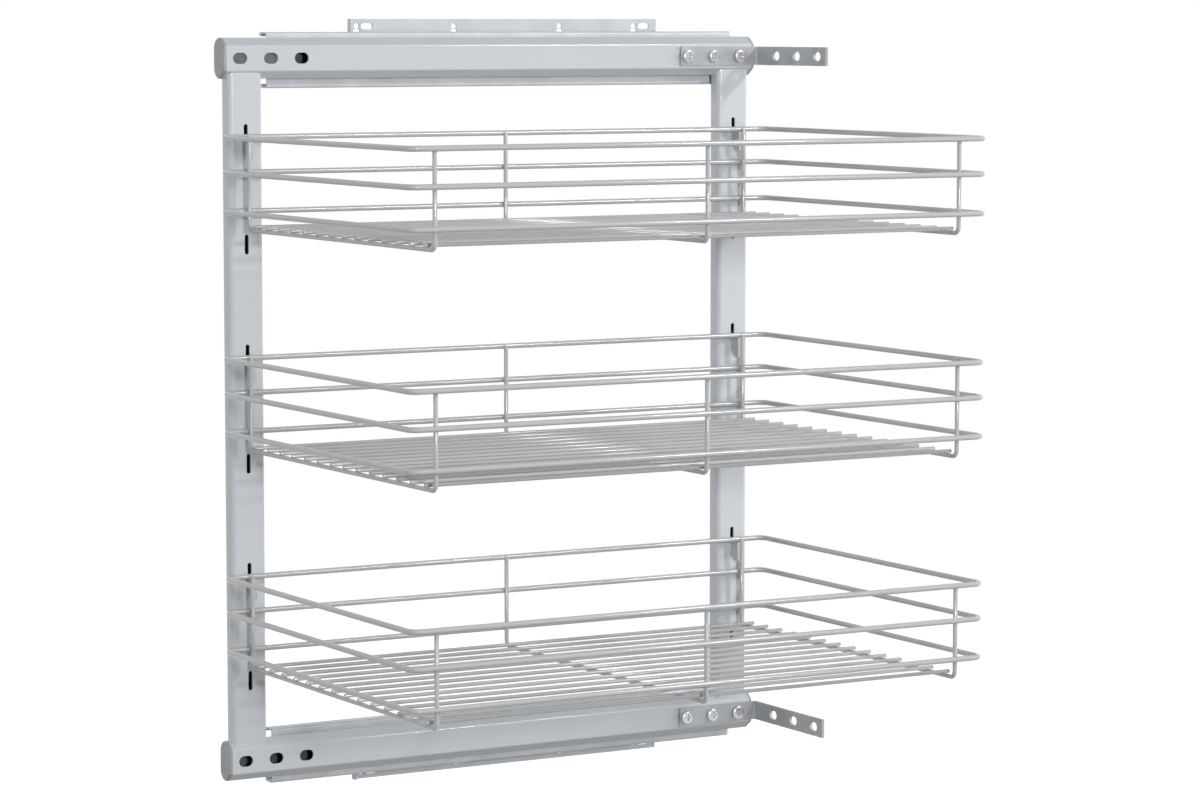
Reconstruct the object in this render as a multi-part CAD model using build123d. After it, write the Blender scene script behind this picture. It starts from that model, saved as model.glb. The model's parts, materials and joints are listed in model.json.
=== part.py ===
from build123d import *
import os

# Three-tier wire basket pull-out for the side wall of a cabinet.
# X is the pull-out direction, towards the door. The wall is the plane Y = 0 and the
# baskets stand out from it towards -Y. Z is up. The origin is the middle of the two
# slotted screw holes of the lower wall plate, on the wall.
# All sizes are in millimetres.

# Wall plates
plate_length = 264.7
plate_thickness = 1.5
plate_reach = 28.4
plate_overlap = 12.0
plate_fold_depth = 5.5
plate_fold_clear = 0.6
plate_hole_line = 23.0
plate_hole_radius = 2.3
plate_round_holes = (-125.5, -44.0, 47.0, 112.5)
plate_slots = (-117.0, 121.5)
plate_slot_length = 9.8
plate_slot_width = 4.6
plate_neck_width = 1.6
plate_window_width = 5.5
plate_window_height = 2.1
plate_window_line = 3.45

# Telescopic slides
slide_length = 397.0
slide_travel = 395.0
slide_height = 40.8
slide_thickness = 14.2
slide_drop = 1.6
slide_forward = 15.2
channel_depth = 12.4
sheet = 1.2
ball_radius = 1.6
ball_play = 0.1
ball_count = 8
ball_pitch = 22.0
cage_sheet = 0.6
cage_margin = 13.0
cage_clear = 3.0
cage_tip_gap = 0.5
lip_height = 1.85
mouth_margin = 0.1
web_gap = 1.6
edge_stagger = 0.2
inner_ball_setback = 1.0
middle_inset = 10.0
wall_member_inset = 12.0
door_end_play = 1.0
profile_radius = 2.0
rivet_radius = 2.0
rivet_pitch = 90.0
channel_rivet_pitch = 135.0
rivet_head_radius = 3.5
rivet_head = 0.8

# Sliding frame
rail_length = 451.0
rail_height = 29.6
rail_depth = 17.0
rail_wall = 1.5
rail_corner = 8.0
rail_slant_height = 5.6
rail_slant_depth = 7.6
rail_bend = 1.8
rail_spacing = 513.8
rail_slot_length = 11.3
rail_slot_width = 8.0
rail_slot_pitch = 24.6
rail_slot_inset = 13.3
rail_slot_count = 3
upright_width = 27.5
upright_depth = 14.0
upright_wall = 1.5
upright_corner = 4.5
cap_flange = 2.4
cap_plug = 5.0
cap_clear = 0.1
cap_edge = 1.2
cap_tongue = 47.0
cap_tongue_thickness = 2.0
cap_tongue_margin = 1.0
cap_wall = 2.0

# Door brackets
bracket_height = 14.2
bracket_thickness = 2.2
bracket_leg = 99.3
bracket_bolt_pitch = 23.3
bracket_end_margin = 5.6
bracket_bend = 3.0
bracket_stand_off = 1.1
bolt_end_distance = 15.0
leg_slot_length = 10.0
leg_slot_width = 7.0
leg_slot_pitch = 28.8
leg_slot_end = 12.3
leg_slot_count = 3
bolt_radius = 2.4
bolt_head_radius = 5.0
bolt_head = 3.0
bolt_play = 0.35
bolt_tip = 1.0
cross_length = 5.2
cross_width = 1.1
cross_depth = 1.5
nut_strip_thickness = 3.0
nut_strip_height = 12.0

# Baskets
basket_length = 465.0
basket_depth = 300.0
basket_count = 3
basket_forward = 0.6
rim_wire = 4.0
u_wire = 3.2
floor_wire = 2.8
rim_corner = 7.0
low_to_middle_rim = 28.1
low_to_top_rim = 53.4
basket_drop = 13.8
slot_above_top_rim = 1.9
u_wire_bend = 5.0
floor_wire_count = 14
floor_wire_pitch = 20.35
floor_wire_overhang = 3.0
weld = 0.2

# Hanging slots and hook plates
hang_slot_length = 14.4
hang_slot_width = 3.2
hang_slot_pitch = 80.0
hang_slot_rise = 2.3
hang_slot_x = 207.5
hang_gap = 7.15
hook_thickness = 2.5
hook_drop = 7.8
hook_width = 2.5
hook_body = 15.0
hook_taper = 5.0
hook_chamfer = 1.0
seat_gap = 0.3

# Cutters run past the faces that they cut
cut_margin = 1.0

# Positions worked out from the sizes
half_rails = rail_spacing / 2
middle_z = plate_hole_line + half_rails
slot_middle = (plate_slots[0] + plate_slots[1]) / 2
plate_x = -slot_middle
plate_forward = 22.6
frame_x = plate_x - plate_forward
basket_x = frame_x + basket_forward
slide_x = frame_x + slide_forward
rail_levels = {"upper": middle_z + half_rails, "lower": middle_z - half_rails}
outward = {"upper": 1, "lower": -1}

plate_front = -plate_thickness
slide_front = plate_front - slide_thickness
rail_front = slide_front - rail_depth
rail_middle_y = slide_front - rail_depth / 2
upright_front = rail_middle_y - upright_depth / 2

outer_flange = slide_height / 2 - sheet
outer_ball_z = outer_flange - ball_play - ball_radius
middle_half = outer_flange - 2 * (ball_play + ball_radius)
middle_flange = middle_half - sheet
inner_ball_z = middle_flange - ball_play - ball_radius
inner_half = middle_flange - 2 * (ball_play + ball_radius)
channel_back = slide_front + channel_depth
middle_front = slide_front + sheet + web_gap
middle_back = channel_back + edge_stagger
inner_front = middle_front + sheet + web_gap + edge_stagger
outer_cage_front = slide_front + sheet + (web_gap - cage_sheet) / 2
inner_cage_front = middle_front + sheet + (web_gap - cage_sheet) / 2
outer_cage_back = channel_back - sheet - cage_tip_gap
inner_cage_back = middle_back - sheet - cage_tip_gap
outer_ball_y = (middle_front + channel_back - sheet) / 2
inner_ball_y = inner_front + profile_radius + inner_ball_setback
slide_left = slide_x - slide_length / 2
slide_right = slide_x + slide_length / 2
cage_length = (ball_count - 1) * ball_pitch + 2 * cage_margin
cage_left = slide_left + slide_travel / 4 + middle_inset + cage_clear

back_rim_y = upright_front - hang_gap
front_rim_y = back_rim_y - (basket_depth - rim_wire)
rim_half_length = (basket_length - rim_wire) / 2
wire_contact = (rim_wire + u_wire) / 2 - weld
back_wire_y = back_rim_y - wire_contact
front_wire_y = front_rim_y + wire_contact
hook_side = hang_slot_x + hook_thickness / 2
slot_end_radius = hang_slot_width / 2
slot_end_rise = slot_end_radius - (slot_end_radius**2 - (hook_thickness / 2) ** 2) ** 0.5
u_wire_x = hook_side + u_wire / 2 - weld
floor_rise = (u_wire + floor_wire) / 2 - weld
hang_slot_levels = [
    middle_z + hang_slot_rise + (index - basket_count + 0.5) * hang_slot_pitch
    for index in range(2 * basket_count)
]
basket_names = ("lower", "middle", "upper")
basket_hang_levels = {name: hang_slot_levels[2 * index + 1] for index, name in enumerate(basket_names)}
last_bolt_x = frame_x + rail_length / 2 - bolt_end_distance
bolt_places = [last_bolt_x - index * bracket_bolt_pitch for index in (2, 1, 0)]
leg_x = frame_x + rail_length / 2 + bracket_stand_off
leg_end = rail_front - bracket_leg


def block(x_span, y_span, z_span):
    """A box between two corners."""
    size = [high - low for low, high in (x_span, y_span, z_span)]
    middle = [(low + high) / 2 for low, high in (x_span, y_span, z_span)]
    return Pos(*middle) * Box(*size)


def rod_y(x, z, y_span, radius):
    """A round bar or hole along Y."""
    middle = (y_span[0] + y_span[1]) / 2
    return Pos(x, middle, z) * Rot(90, 0, 0) * Cylinder(radius, y_span[1] - y_span[0])


def slot_y(x, z, y_span, length, width, turn=0):
    """A cutter for a slot with round ends through a wall that faces Y."""
    outline = Plane.XZ * Rot(0, 0, turn) * SlotOverall(length, width)
    cutter = extrude(outline, amount=(y_span[1] - y_span[0]) / 2, both=True)
    return Pos(x, (y_span[0] + y_span[1]) / 2, z) * cutter


def channel(x_span, y_span, half_height, level, opening, opens_to_front):
    """A thin rolled channel along X whose open side has two short lips."""
    depth = y_span[1] - y_span[0]
    middle_y = (y_span[0] + y_span[1]) / 2
    outline = RectangleRounded(depth, 2 * half_height, profile_radius)
    hollow = RectangleRounded(depth - 2 * sheet, 2 * (half_height - sheet), profile_radius - sheet)
    side = -1 if opens_to_front else 1
    mouth = Pos(side * depth / 2, 0) * Rectangle(2 * (sheet + mouth_margin), 2 * opening)
    profile = Plane.YZ * (outline - hollow - mouth)
    body = extrude(profile, amount=x_span[1] - x_span[0])
    return Pos(x_span[0], middle_y, level) * body


def slide_level(side):
    """Height of the middle of a slide."""
    return rail_levels[side] - slide_drop


def rivet_places():
    """X of the rivets that hold the inner member to its plate."""
    return [plate_x + step * rivet_pitch for step in (-1, 0, 1)]


def channel_rivet_places():
    """X of the rivets that hold the outer channel to its rail."""
    return [slide_x + step * channel_rivet_pitch for step in (-1, 0, 1)]


def wall_plate(side):
    """Flat plate on the cabinet wall, with one end folded forward and a row of screw holes."""
    rail_z = rail_levels[side]
    out = outward[side]
    left = plate_x - plate_length / 2
    right = plate_x + plate_length / 2
    wall = (-plate_thickness, 0)
    z_ends = sorted((rail_z - out * plate_overlap, rail_z + out * plate_reach))
    plate = block((left, right), wall, z_ends)
    slide_edge = slide_level(side) + out * slide_height / 2
    fold_ends = sorted((slide_edge + out * plate_fold_clear, rail_z + out * plate_reach))
    plate += block((left, left + plate_thickness), (-plate_fold_depth, 0), fold_ends)
    hole_z = rail_z + out * plate_hole_line
    window_z = hole_z - out * plate_window_line
    window_ends = (window_z - plate_window_height / 2, window_z + plate_window_height / 2)
    neck_ends = sorted((window_z, hole_z))
    through = (-plate_thickness - cut_margin, cut_margin)
    for place in plate_round_holes:
        x = plate_x + place
        plate -= rod_y(x, hole_z, through, plate_hole_radius)
        half_window = plate_window_width / 2
        plate -= block((x - half_window, x + half_window), through, window_ends)
        half_neck = plate_neck_width / 2
        plate -= block((x - half_neck, x + half_neck), through, neck_ends)
    for place in plate_slots:
        plate -= slot_y(plate_x + place, hole_z, through, plate_slot_length, plate_slot_width)
    for x in rivet_places():
        plate -= rod_y(x, slide_level(side), through, rivet_radius)
    return plate


def outer_channel(side):
    """Channel of a slide whose web lies on the back of the rail. Its open side faces the wall."""
    level = slide_level(side)
    y_span = (slide_front, channel_back)
    opening = outer_flange - lip_height
    member = channel((slide_left, slide_right), y_span, slide_height / 2, level, opening, False)
    for x in channel_rivet_places():
        member -= rod_y(x, level, (slide_front - cut_margin, slide_front + 2 * sheet), rivet_radius)
    return member


def intermediate_member(side):
    """Middle channel of a slide."""
    x_span = (slide_left + middle_inset, slide_right - door_end_play)
    opening = middle_flange - lip_height / 2
    return channel(x_span, (middle_front, middle_back), middle_half, slide_level(side), opening, False)


def inner_member(side):
    """Inner channel of a slide, fixed to the wall plate and open to the front."""
    level = slide_level(side)
    x_span = (slide_left + wall_member_inset, slide_right - 2 * door_end_play)
    opening = inner_half - sheet - lip_height / 2
    member = channel(x_span, (inner_front, plate_front), inner_half, level, opening, True)
    for x in rivet_places():
        member -= rod_y(x, level, (plate_front - 2 * sheet, plate_front + cut_margin), rivet_radius)
    return member


def ball_places():
    """X of the balls of one row."""
    return [cage_left + cage_margin + index * ball_pitch for index in range(ball_count)]


def ball_cage(side, front, back, ball_y, ball_z):
    """Thin folded strip that keeps the balls of two rows apart."""
    level = slide_level(side)
    x_span = (cage_left, cage_left + cage_length)
    half = ball_z + cage_sheet / 2
    cage = block(x_span, (front, front + cage_sheet), (level - half, level + half))
    for row in (-1, 1):
        middle = level + row * ball_z
        z_span = (middle - cage_sheet / 2, middle + cage_sheet / 2)
        cage += block(x_span, (front, back), z_span)
        for x in ball_places():
            hole = Cylinder(ball_radius + ball_play, 4 * cage_sheet)
            cage -= Pos(x, ball_y, middle) * hole
    return cage


def balls(side, ball_y, ball_z):
    """The two rows of balls of one cage."""
    group = []
    for row in (-1, 1):
        for x in ball_places():
            place = Pos(x, ball_y, slide_level(side) + row * ball_z)
            group.append(place * Sphere(ball_radius))
    return group


def plate_rivets():
    """Flush rivets through the plates and the webs of the inner members."""
    group = []
    for side in rail_levels:
        for x in rivet_places():
            group.append(rod_y(x, slide_level(side), (plate_front - sheet, 0), rivet_radius))
    return group


def channel_rivets():
    """Rivets through the outer channels and the backs of the rails, headed inside the rail."""
    group = []
    rail_inside = slide_front - rail_wall
    for side in rail_levels:
        for x in channel_rivet_places():
            level = slide_level(side)
            rivet = rod_y(x, level, (rail_inside, slide_front + sheet), rivet_radius)
            rivet += rod_y(x, level, (rail_inside - rivet_head, rail_inside), rivet_head_radius)
            group.append(rivet)
    return group


def rail_body_span():
    """X of the two ends of a rail's tube, between its caps."""
    half = rail_length / 2 - cap_flange
    return (frame_x - half, frame_x + half)


def rail_outline(inset=0.0):
    """Section of a rail, or of what fits inside it: round at the back, slanting off from the flat front."""
    slant = (rail_slant_height**2 + rail_slant_depth**2) ** 0.5
    front = -rail_depth / 2 + inset
    back = rail_depth / 2 - inset
    top = rail_height / 2 - inset
    flat = rail_height / 2 - rail_slant_height - inset * (slant - rail_slant_height) / rail_slant_depth
    slant_end = -rail_depth / 2 + rail_slant_depth + inset * (slant - rail_slant_depth) / rail_slant_height
    corners = [(front, -flat), (slant_end, -top), (back, -top), (back, top), (slant_end, top), (front, flat)]
    outline = Polygon(*corners, align=None)
    outline = fillet(outline.vertices().sort_by(Axis.X)[-2:], rail_corner - inset)
    bend = rail_bend - inset
    if bend > 0:
        outline = fillet(outline.vertices().sort_by(Axis.X)[:2], bend)
    return outline


def rail_slot_places(end):
    """X of the slots at one end of a rail, counted from that end: -1 is the rear, 1 the door."""
    first = rail_length / 2 - rail_slot_inset
    return [frame_x + end * (first - index * rail_slot_pitch) for index in range(rail_slot_count)]


def rail(side):
    """Tube with a flat front, slanted edges and three slots at each end."""
    level = rail_levels[side]
    span = rail_body_span()
    profile = Plane.YZ * (rail_outline() - rail_outline(rail_wall))
    tube = extrude(profile, amount=span[1] - span[0])
    tube = Pos(span[0], rail_middle_y, level) * tube
    front_wall = (rail_front - cut_margin, rail_front + rail_wall + cut_margin)
    for end in (-1, 1):
        for x in rail_slot_places(end):
            tube -= slot_y(x, level, front_wall, rail_slot_length, rail_slot_width)
    back_wall = (slide_front - rail_wall - cut_margin, slide_front + cut_margin)
    for x in channel_rivet_places():
        tube -= rod_y(x, slide_level(side), back_wall, rivet_radius)
    return tube


def end_cap(side, end, tongue):
    """Plug with a rounded flange in the end of a rail. A tongue runs behind the front wall."""
    level = rail_levels[side]
    face = frame_x + end * rail_length / 2
    seat = face - end * cap_flange
    flange = extrude(Plane.YZ * rail_outline(), amount=cap_flange)
    edges = flange.faces().sort_by(Axis.X)[-1].edges()
    flange = fillet(edges, cap_edge)
    inset = rail_wall + cap_clear
    hollow = rail_outline(inset) - rail_outline(inset + cap_wall)
    plug = Pos(-cap_plug, 0, 0) * extrude(Plane.YZ * hollow, amount=cap_plug)
    cap = flange + plug
    if tongue:
        half = nut_strip_height / 2 + cap_tongue_margin
        front = -rail_depth / 2 + inset
        tongue_y = (front, front + cap_tongue_thickness)
        cap += block((-cap_tongue, 0), tongue_y, (-half, half))
    if end < 0:
        cap = mirror(cap, about=Plane.YZ)
    return Pos(seat, rail_middle_y, level) * cap


def upright(end):
    """Hollow upright between the rails, coped to their slanted edges, with hanging slots."""
    x = frame_x + end * hang_slot_x
    outline = RectangleRounded(upright_width, upright_depth, upright_corner)
    inner_corner = upright_corner - upright_wall
    inner_size = (upright_width - 2 * upright_wall, upright_depth - 2 * upright_wall)
    hollow = RectangleRounded(inner_size[0], inner_size[1], inner_corner)
    low = rail_levels["lower"]
    high = rail_levels["upper"]
    tube = extrude(outline - hollow, amount=high - low)
    tube = Pos(x, rail_middle_y, low) * tube
    for level in rail_levels.values():
        cope = extrude(Plane.YZ * rail_outline(), amount=3 * upright_width)
        tube -= Pos(x - 1.5 * upright_width, rail_middle_y, level) * cope
    front_wall = (upright_front - cut_margin, upright_front + upright_wall + cut_margin)
    for level in hang_slot_levels:
        tube -= slot_y(x, level, front_wall, hang_slot_length, hang_slot_width, 90)
    return tube


def door_bracket(side):
    """Strip bolted to the rail, bent towards the baskets into a leg with three slots."""
    level = rail_levels[side]
    half = bracket_height / 2
    z_span = (level - half, level + half)
    strip_start = bolt_places[0] - bracket_end_margin
    strip_y = (rail_front - bracket_thickness, rail_front)
    outer_x = leg_x + bracket_thickness
    bracket = block((strip_start, outer_x), strip_y, z_span)
    bracket += block((leg_x, outer_x), (leg_end, rail_front), z_span)
    upright_edges = bracket.edges().filter_by(Axis.Z)
    bend_edge = upright_edges.sort_by_distance((outer_x, rail_front, level))[0]
    bracket = fillet(bend_edge, bracket_bend)
    inside_edge = bracket.edges().filter_by(Axis.Z).sort_by_distance((leg_x, strip_y[0], level))[0]
    bracket = fillet(inside_edge, bracket_bend - bracket_thickness)
    through = (strip_y[0] - cut_margin, strip_y[1] + cut_margin)
    for x in bolt_places:
        bracket -= rod_y(x, level, through, bolt_radius + bolt_play)
    cutter = extrude(Plane.YZ * SlotOverall(leg_slot_length, leg_slot_width), amount=3 * bracket_thickness)
    for index in range(leg_slot_count):
        y = leg_end + leg_slot_end + index * leg_slot_pitch
        bracket -= Pos(leg_x - bracket_thickness, y, level) * cutter
    return bracket


def bracket_bolts():
    """Pan head bolts with a cross recess, through the brackets and rails into the nut strips."""
    group = []
    seat = rail_front - bracket_thickness
    tip = rail_front + rail_wall + nut_strip_thickness + bolt_tip
    for side, level in rail_levels.items():
        for x in bolt_places:
            head = rod_y(x, level, (seat - bolt_head, seat), bolt_head_radius)
            rim = head.faces().sort_by(Axis.Y)[0].edges()
            head = fillet(rim, bolt_head / 2)
            recess_y = (seat - bolt_head - cut_margin, seat - bolt_head + cross_depth)
            for size in ((cross_length, cross_width), (cross_width, cross_length)):
                x_span = (x - size[0] / 2, x + size[0] / 2)
                head -= block(x_span, recess_y, (level - size[1] / 2, level + size[1] / 2))
            group.append(head + rod_y(x, level, (seat, tip), bolt_radius))
    return group


def nut_strips():
    """Threaded strips inside the door ends of the rails."""
    group = []
    front = rail_front + rail_wall
    half = nut_strip_height / 2
    for level in rail_levels.values():
        x_span = (bolt_places[0] - bracket_end_margin, bolt_places[-1] + bracket_end_margin / 2)
        strip = block(x_span, (front, front + nut_strip_thickness), (level - half, level + half))
        for x in bolt_places:
            strip -= rod_y(x, level, (front - cut_margin, front + nut_strip_thickness + cut_margin), bolt_radius)
        group.append(strip)
    return group


def rim(level):
    """One closed rectangle of round wire with rounded corners."""
    size = (basket_length - rim_wire, basket_depth - rim_wire)
    path = RectangleRounded(size[0], size[1], rim_corner).face().outer_wire()
    section = (path ^ 0) * Circle(rim_wire / 2)
    return Pos(basket_x, (back_rim_y + front_rim_y) / 2, level) * sweep(section, path=path)


def u_wires(level):
    """Three wires bent to a U, which carry the floor and join the rims."""
    group = []
    run = level - basket_drop
    top = level + low_to_top_rim
    for x in (frame_x - u_wire_x, basket_x, frame_x + u_wire_x):
        corners = [(x, back_wire_y, top), (x, back_wire_y, run), (x, front_wire_y, run), (x, front_wire_y, top)]
        path = FilletPolyline(*corners, radius=u_wire_bend)
        group.append(sweep((path ^ 0) * Circle(u_wire / 2), path=path))
    return group


def floor_wires(level):
    """Straight wires of the floor, lying across the U wires."""
    group = []
    height = level - basket_drop + floor_rise
    length = 2 * (u_wire_x + floor_wire_overhang)
    middle_y = (back_wire_y + front_wire_y) / 2
    for index in range(floor_wire_count):
        y = middle_y + (index - (floor_wire_count - 1) / 2) * floor_wire_pitch
        wire = Rot(0, 90, 0) * Cylinder(floor_wire / 2, length)
        group.append(Pos(basket_x, y, height) * wire)
    return group


def hook_plates(slot_level, level):
    """Flat hooks beside the outer U wires, which drop behind the face of the uprights."""
    seat = slot_level - hang_slot_length / 2 + slot_end_rise + seat_gap
    top = level + low_to_top_rim - rim_wire / 2 + weld
    face = upright_front - seat_gap
    behind = upright_front + upright_wall + seat_gap
    front = back_wire_y
    outline = [
        (front, top), (behind + hook_width, top), (behind + hook_width, seat - hook_drop + hook_chamfer),
        (behind + hook_width - hook_chamfer, seat - hook_drop), (behind, seat - hook_drop), (behind, seat),
        (face, seat), (face, top - hook_body + hook_taper), (face - hook_taper, top - hook_body),
        (front, top - hook_body),
    ]
    shape = Plane.YZ * Polygon(*outline, align=None)
    plate = extrude(shape, amount=hook_thickness / 2, both=True)
    return [Pos(frame_x + end * hang_slot_x, 0, 0) * plate for end in (-1, 1)]


def write(name, shapes):
    """Writes one node as a STEP file."""
    if not isinstance(shapes, list):
        shapes = [shapes]
    solids = [solid for shape in shapes for solid in shape.solids()]
    node = Compound(children=solids) if len(solids) > 1 else solids[0]
    export_step(node, f"parts/{name}.step")


os.makedirs("parts", exist_ok=True)

for side in rail_levels:
    write(f"{side}_wall_plate", wall_plate(side))
    write(f"{side}_outer_channel", outer_channel(side))
    write(f"{side}_intermediate_member", intermediate_member(side))
    write(f"{side}_inner_member", inner_member(side))
    outer_cage = ball_cage(side, outer_cage_front, outer_cage_back, outer_ball_y, outer_ball_z)
    inner_cage = ball_cage(side, inner_cage_front, inner_cage_back, inner_ball_y, inner_ball_z)
    write(f"{side}_outer_ball_cage", outer_cage)
    write(f"{side}_inner_ball_cage", inner_cage)
    write(f"{side}_outer_balls", balls(side, outer_ball_y, outer_ball_z))
    write(f"{side}_inner_balls", balls(side, inner_ball_y, inner_ball_z))
    write(f"{side}_rail", rail(side))
    write(f"{side}_door_bracket", door_bracket(side))

write("plate_rivets", plate_rivets())
write("channel_rivets", channel_rivets())
write("upper_rear_end_cap", end_cap("upper", -1, True))
plain_caps = (("upper", 1), ("lower", 1), ("lower", -1))
write("plain_end_caps", [end_cap(side, end, False) for side, end in plain_caps])
write("rear_upright", upright(-1))
write("front_upright", upright(1))
write("bracket_bolts", bracket_bolts())
write("nut_strips", nut_strips())

for name, hang_level in basket_hang_levels.items():
    low_rim = hang_level - slot_above_top_rim - low_to_top_rim
    write(f"{name}_basket_low_rim", rim(low_rim))
    write(f"{name}_basket_middle_rim", rim(low_rim + low_to_middle_rim))
    write(f"{name}_basket_top_rim", rim(low_rim + low_to_top_rim))
    write(f"{name}_basket_u_wires", u_wires(low_rim))
    write(f"{name}_basket_floor_wires", floor_wires(low_rim))
    write(f"{name}_basket_hook_plates", hook_plates(hang_level, low_rim))
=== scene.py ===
import json
import logging
import math
from dataclasses import dataclass, field
from enum import Enum
from typing import Callable, Iterable

import bpy
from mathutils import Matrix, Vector


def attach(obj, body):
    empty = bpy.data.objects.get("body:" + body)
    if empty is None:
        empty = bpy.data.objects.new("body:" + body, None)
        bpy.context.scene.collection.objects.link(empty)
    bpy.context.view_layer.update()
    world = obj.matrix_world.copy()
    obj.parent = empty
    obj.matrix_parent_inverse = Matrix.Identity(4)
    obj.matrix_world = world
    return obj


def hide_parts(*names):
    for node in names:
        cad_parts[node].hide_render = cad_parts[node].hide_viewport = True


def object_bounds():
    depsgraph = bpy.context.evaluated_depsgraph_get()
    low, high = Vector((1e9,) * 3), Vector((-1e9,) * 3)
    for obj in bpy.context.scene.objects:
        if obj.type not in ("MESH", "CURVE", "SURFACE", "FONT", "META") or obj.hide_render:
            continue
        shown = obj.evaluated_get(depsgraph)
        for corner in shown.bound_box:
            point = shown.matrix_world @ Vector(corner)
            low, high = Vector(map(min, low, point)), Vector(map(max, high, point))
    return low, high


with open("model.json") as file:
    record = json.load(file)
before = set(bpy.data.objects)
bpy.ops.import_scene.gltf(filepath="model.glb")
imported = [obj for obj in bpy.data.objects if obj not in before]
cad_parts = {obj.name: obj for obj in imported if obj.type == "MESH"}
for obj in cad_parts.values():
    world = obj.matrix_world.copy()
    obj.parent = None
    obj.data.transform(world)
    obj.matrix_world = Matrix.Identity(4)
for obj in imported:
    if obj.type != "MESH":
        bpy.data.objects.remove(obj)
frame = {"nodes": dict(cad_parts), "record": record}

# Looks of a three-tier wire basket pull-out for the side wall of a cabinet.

LOG = logging.getLogger("pull_out")
CAD_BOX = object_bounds()
MM = 0.001

Colour = tuple[float, float, float, float]
Place = tuple[float, float, float]
WHITE: Colour = (1.0, 1.0, 1.0, 1.0)

# Sockets of the Mix node, which is asked for them by number.
MIX_FACTOR = 0
MIX_NUMBERS = (2, 3)
MIX_NUMBER = 0
MIX_COLOURS = (6, 7)
MIX_COLOUR = 2

# Copies of CAD meshes: gaps closed, flats made one face and edges broken. Millimetres and degrees.
CAD_GAP = 0.002
FLAT_ANGLE = 0.6
EDGE_STEPS = 2
EDGE_ANGLE = 32.0

# Bent wire: where a closed ring meets itself, and how it is smoothed. Millimetres and degrees.
RING_GAP = 0.01
WIRE_ANGLE = 40.0

# Wire ends: depth of the dome, then rise and narrowing of its rings, as shares of the radius.
DOME_DEPTH = 0.35
DOME_STEPS = ((0.22, 0.86), (0.14, 0.62))

# Heights of the low rims in the CAD frame, in millimetres.
BASKET_LEVELS = {"upper_basket": 426.9, "middle_basket": 266.9, "lower_basket": 106.9}


class Axis(Enum):
    """Direction of a drawn or rolled grain."""

    X = (1.0, 0.0, 0.0)
    Y = (0.0, 1.0, 0.0)
    Z = (0.0, 0.0, 1.0)


class Effect(Enum):
    """Names of the shader groups that several finishes share."""

    GRAIN = "drawn_grain"
    SPECKLE = "paint_speckle"
    MOTTLE = "tone_mottle"


def node_group(effect: Effect, inputs: dict[str, float], outputs: Iterable[str]) -> bpy.types.NodeTree:
    """Starts a shader group with a vector input and plain number sockets.

    Args:
        effect: Which shared effect the group is.
        inputs: Number inputs and their defaults.
        outputs: Names of the number outputs.

    Returns:
        The new group, with an input and an output node named in and out.
    """
    tree = bpy.data.node_groups.new(effect.value, "ShaderNodeTree")
    tree.interface.new_socket("Vector", in_out="INPUT", socket_type="NodeSocketVector")
    for name, value in inputs.items():
        socket = tree.interface.new_socket(name, in_out="INPUT", socket_type="NodeSocketFloat")
        socket.default_value = value
    for name in outputs:
        tree.interface.new_socket(name, in_out="OUTPUT", socket_type="NodeSocketFloat")
    tree.nodes.new("NodeGroupInput").name = "in"
    tree.nodes.new("NodeGroupOutput").name = "out"
    return tree


def build_grain() -> bpy.types.NodeTree:
    """Long fine streaks, as on drawn or rolled steel.

    Returns:
        A group whose input vector is already stretched along the grain.
    """
    tree = node_group(Effect.GRAIN, {"Scale": 900.0, "Low": 0.3, "High": 0.45}, ("Roughness", "Height"))
    nodes, links = tree.nodes, tree.links
    noise = nodes.new("ShaderNodeTexNoise")
    noise.inputs["Detail"].default_value = 3.0
    spread = nodes.new("ShaderNodeMapRange")
    links.new(nodes["in"].outputs["Vector"], noise.inputs["Vector"])
    links.new(nodes["in"].outputs["Scale"], noise.inputs["Scale"])
    links.new(noise.outputs["Fac"], spread.inputs["Value"])
    links.new(nodes["in"].outputs["Low"], spread.inputs["To Min"])
    links.new(nodes["in"].outputs["High"], spread.inputs["To Max"])
    links.new(spread.outputs["Result"], nodes["out"].inputs["Roughness"])
    links.new(noise.outputs["Fac"], nodes["out"].inputs["Height"])
    return tree


def build_speckle() -> bpy.types.NodeTree:
    """Fine flakes and the slight waviness of a sprayed silver coat.

    Returns:
        A group with a flake value, a roughness and a height.
    """
    inputs = {"Flake Scale": 2600.0, "Wave Scale": 260.0, "Low": 0.3, "High": 0.4}
    tree = node_group(Effect.SPECKLE, inputs, ("Flake", "Roughness", "Height"))
    nodes, links = tree.nodes, tree.links
    flakes = nodes.new("ShaderNodeTexNoise")
    flakes.inputs["Detail"].default_value = 1.0
    wave = nodes.new("ShaderNodeTexNoise")
    wave.inputs["Detail"].default_value = 2.0
    spread = nodes.new("ShaderNodeMapRange")
    for texture, scale in ((flakes, "Flake Scale"), (wave, "Wave Scale")):
        links.new(nodes["in"].outputs["Vector"], texture.inputs["Vector"])
        links.new(nodes["in"].outputs[scale], texture.inputs["Scale"])
    links.new(flakes.outputs["Fac"], nodes["out"].inputs["Flake"])
    links.new(wave.outputs["Fac"], spread.inputs["Value"])
    links.new(nodes["in"].outputs["Low"], spread.inputs["To Min"])
    links.new(nodes["in"].outputs["High"], spread.inputs["To Max"])
    links.new(spread.outputs["Result"], nodes["out"].inputs["Roughness"])
    links.new(wave.outputs["Fac"], nodes["out"].inputs["Height"])
    return tree


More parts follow.
